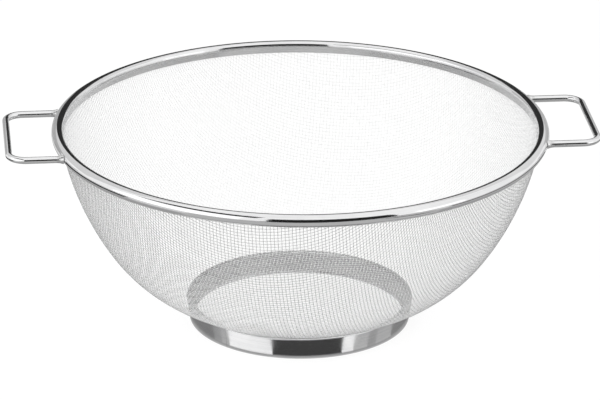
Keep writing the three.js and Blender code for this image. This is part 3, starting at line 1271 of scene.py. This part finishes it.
@dataclass
class Studio:
    """The floor, the soft light, the cards that reflections show and the camera.

    Attributes:
        azimuth: Camera's azimuth, from the front towards +X.
        elevation: Its height above the horizon.
        distance: Its distance from the point that it circles.
        orbit_height: Height of that point, which the soft boxes face too.
        aim_height: Height of the point that the camera looks at.
        lens: Focal length, in millimetres.
        sensor: Width of the camera's sensor, in millimetres.
        roll: Turn about the line of sight.
        floor_radius: Radius of the floor.
        floor_sides: Sides of its outline.
        floor_albedo: Share of light that the floor gives back.
        floor_glow: What makes up the floor's white for rays that show the background.
        sky: Level of the light from all round.
        lamps: The soft boxes.
        cards: The cards that reflections show.
    """

    azimuth: float = CAMERA_AZIMUTH
    elevation: float = math.radians(22.21)
    distance: float = 2109.0 * MM
    orbit_height: float = 60.0 * MM
    aim_height: float = 65.67 * MM
    lens: float = 240.0
    sensor: float = 36.0
    roll: float = math.radians(0.334)
    floor_radius: float = 6.0
    floor_sides: int = 128
    floor_albedo: float = 0.18
    floor_glow: float = 0.85
    sky: float = 0.75
    lamps: tuple[SoftBox, ...] = (
        SoftBox("soft_box_top", 4.0, 1.2, (-0.2, -0.3, 1.3)),
        SoftBox("soft_box_front", 7.0, 0.8, (-0.4, -1.0, 0.5)),
    )
    cards: tuple[FloorCard | WallCard, ...] = (
        # The floor that the rim mirrors, with its dark edges
        FloorCard("card_floor", 0.5, 0.12, 0.36),
        FloorCard("card_floor_inner", 0.38, 0.115, 0.165, -50.0, 48.0, 0.6 * MM),
        FloorCard("card_floor_inner_sides", 0.38, 0.115, 0.24, 48.0, 310.0, 0.6 * MM),
        FloorCard("card_floor_front", 0.5, 0.36, 1.2, -50.0, 48.0),
        FloorCard("card_floor_sides", 0.66, 0.42, 1.2, 48.0, 310.0),
        FloorCard("card_floor_dark", 0.02, 0.7, 1.2, -22.0, 39.0, 0.6 * MM),
        FloorCard("card_edge_left", 0.02, 0.27, 0.47, -128.0, -78.0, 0.6 * MM),
        FloorCard("card_edge_right", 0.02, 0.32, 0.43, 55.0, 125.0, 0.6 * MM),
        # A dark strip in front of the right handle
        FloorCard("card_handle", 0.02, 0.235, 0.37, 38.9, 45.8, 0.8 * MM, 0.685),
        # The patches that the foot mirrors
        FloorCard("card_foot_hem", 0.5, 0.0582, 0.0591),
        FloorCard("card_foot_edge", 0.36, 0.0591, FOOT_CARD_NEAR),
        foot_card("card_foot_left_end", 0.23, -105.0, -57.0),
        foot_card("card_foot_left_middle", 0.36, -57.0, -51.0),
        foot_card("card_foot_left", 0.46, -51.0, -45.5),
        foot_card("card_foot_front", 0.055, -20.0, 17.2),
        foot_card("card_foot_right", 0.5, 24.0, 33.0),
        foot_card("card_foot_right_dim", 0.36, 33.0, 39.0),
        foot_card("card_foot_right_middle", 0.46, 39.0, 52.0),
        foot_card("card_foot_right_end", 0.24, 52.0, 100.0),
        # A grey disc on the floor inside the foot ring: painted shade for the floor that the foot and cloth
        # shade, seen only in reflections
        FloorCard("card_foot_inside_shade", 0.45, 0.0001, 0.056),
        # What stands round the table
        WallCard("card_front", 0.02, 0.0, 1.2, 0.43, 0.86, 0.0, 1.02),
        WallCard("box_left", 1.3, -59.0, 1.0, 0.67, 0.53, 0.0, 1.0),
        WallCard("frame_left", 0.02, -59.0, 1.0, 0.7, 0.62, 1.03, 2.1),
        WallCard("box_right", 1.3, 56.0, 1.0, 0.21, 0.21, 0.0, 0.45),
        WallCard("card_back", 0.03, 180.0, 0.6, 0.27, 0.16, 0.0, 0.56),
        WallCard("card_back_left", 0.45, 180.0, 0.62, -0.15, 0.65, 0.0, 0.32),
        WallCard("card_back_right", 0.5, 180.0, 0.62, 0.65, -0.2, 0.0, 0.32),
        WallCard("side_left", 0.74, -140.0, 0.9, 0.6, 0.5, 0.3, 1.4),
        WallCard("side_right", 0.8, 140.0, 0.9, 0.5, 0.6, 0.3, 1.4),
    )

    def build(self) -> None:
        """Sets up the whole studio."""
        self.build_floor()
        for card in self.cards:
            self.hang(card.build(), card.level)
        self.build_sky()
        for lamp in self.lamps:
            lamp.build(Vector(UP) * self.orbit_height)
        self.build_camera()

    def background_rays(self, tree: Signal) -> Signal:
        """Picks out the rays that show the background.

        Args:
            tree: The node tree to add to.

        Returns:
            1 for camera, glossy and transmission rays, and 0 for the others.
        """
        kinds = ("Camera", "Glossy", "Transmission")
        camera, glossy, through = (tree.node("LightPath", None, None, f"Is {kind} Ray") for kind in kinds)
        return tree.maths("MAXIMUM", tree.maths("MAXIMUM", camera, glossy), through)

    def build_floor(self) -> None:
        """Lays a pale floor that keeps the object's shadow."""
        deselect()
        bpy.ops.mesh.primitive_circle_add(
            vertices=self.floor_sides, radius=self.floor_radius, fill_type="NGON")
        floor = bpy.context.object
        floor.name = "floor"
        made, tree = blank_material("pale_floor")
        albedo = self.floor_albedo
        matt = tree.node("BsdfDiffuse", None, {"Color": (albedo, albedo, albedo, 1.0)})
        strength = self.background_rays(tree) * self.floor_glow
        glow = tree.node("Emission", None, {"Strength": strength})
        tree.surface("AddShader", {0: matt, 1: glow})
        floor.data.materials.append(made)

    def hang(self, card: bpy.types.Object, level: float) -> None:
        """Gives a card its grey and shows it to reflections only.

        Args:
            card: The card's object.
            level: Its brightness.
        """
        made, tree = blank_material(card.name)
        tree.surface("Emission", {"Strength": level})
        card.data.materials.append(made)
        for kind in ("camera", "diffuse", "transmission", "volume_scatter", "shadow"):
            setattr(card, f"visible_{kind}", False)

    def build_sky(self) -> None:
        """Lights the object evenly from all round, before a white background."""
        world = bpy.data.worlds.new("studio")
        bpy.context.scene.world = world
        world.use_nodes = True
        world.node_tree.nodes.clear()
        tree = Signal(world.node_tree)
        strength = self.background_rays(tree).between(self.sky, 1.0)
        sky = tree.node("Background", None, {"Color": (1.0, 1.0, 1.0, 1.0), "Strength": strength})
        tree.node("OutputWorld", None, {"Surface": sky})

    def build_camera(self) -> None:
        """Places the camera at the photograph's viewing angle."""
        level = heading(self.azimuth - math.pi / 2) * math.cos(self.elevation)
        back = level + Vector(UP) * math.sin(self.elevation)
        place = Vector(UP) * self.orbit_height + back * self.distance
        sight = Vector(UP) * self.aim_height - place
        turn = sight.to_track_quat("-Z", "Y").to_matrix().to_4x4()
        bpy.ops.object.camera_add()
        camera = bpy.context.object
        camera.data.lens = self.lens
        camera.data.sensor_width = self.sensor
        camera.matrix_world = Matrix.Translation(place) @ turn @ Matrix.Rotation(self.roll, 4, "Z")
        bpy.context.scene.camera = camera
        bpy.context.scene.view_settings.view_transform = "Standard"


def half_extent(node: str, axis: int) -> float:
    """The farthest that a node reaches from the middle along an axis."""
    low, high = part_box(node)
    return max(-low[axis], high[axis])


def main() -> None:
    """Builds the colander and its studio around the frame."""
    logging.basicConfig(level=logging.INFO, format="%(name)s: %(message)s")
    handle_low, handle_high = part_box("handle_right")
    handle_wire = (handle_high.z - handle_low.z) / 2
    rim_height = (handle_high.z + handle_low.z) / 2
    rim_radius = half_extent("rim_band", 1) - RIM_INSET
    leg = half_extent("handle_right", 1) - handle_wire

    shape = BowlShape(rim_radius=rim_radius - CLOTH_INSET, rim_height=rim_height)
    WovenCloth(shape).build(CLOTH_STEEL)

    rim_steel = RolledSteel(
        name="rolled_rim",
        dark=(0.78, 0.78, 0.79),
        pale=(0.88, 0.88, 0.88),
        smooth=0.06,
        rough=0.1,
        mark_scale=14.0,
        run_scale=9.0,
        ring_radius=rim_radius,
        ring_height=rim_height,
    )
    rim = RolledRim(radius=rim_radius, height=rim_height)
    rim.build(rim_steel)
    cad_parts["rim_core_wire"].material_slots[0].material = CORE_STEEL.material()
    LOG.info("rim_core_wire: the frame's own piece, dressed")

    handles = WireHandles(
        leg=leg,
        start=math.sqrt(rim_radius ** 2 - leg ** 2),
        bar=half_extent("handle_right", 0) - handle_wire,
        height=rim_height,
        wire=handle_wire,
        rim_tube=rim.tube,
    )
    handles.build(HANDLE_STEEL, WELD_STEEL)
    FootRing(shape, top_radius=half_extent("foot_ring", 0)).build(FOOT_STEEL)

    Studio().build()


if __name__ == "__main__":
    main()
